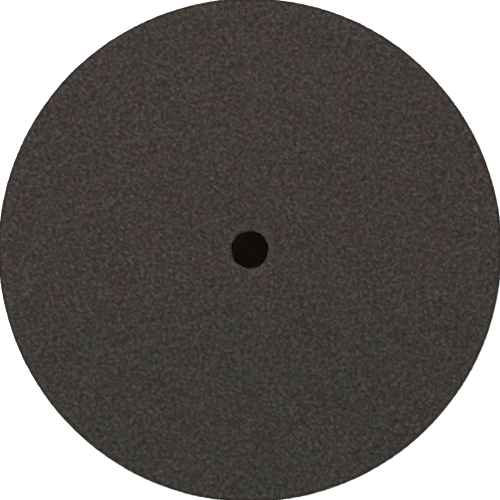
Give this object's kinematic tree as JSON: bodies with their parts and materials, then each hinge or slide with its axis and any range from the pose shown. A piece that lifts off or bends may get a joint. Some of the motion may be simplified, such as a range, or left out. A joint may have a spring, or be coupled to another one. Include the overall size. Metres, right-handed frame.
{
  "type": "polishing pad",
  "caption": "Round charcoal foam finishing pad with a leaning flank, a small centre hole and a loop fabric backing.",
  "frame": {"origin": "centre of the loop face, on the surface the pad lies on", "axes": "+Z along the pad's axis, from the loop face to the working face, which points up; the pad is round, so X and Y are any two directions across it"},
  "size_m": [0.2, 0.2, 0.0331],
  "materials": {
    "foam": "fine open-cell polyurethane foam, charcoal, fully matte",
    "bond_film": "black hot-melt film, dull",
    "loop_fabric": "black brushed nylon loop on a knitted ground"
  },
  "bodies": {
    "root": {"foam_disc": "foam", "bond_film": "bond_film", "loop_backing": "loop_fabric"}
  },
  "joints": []
}
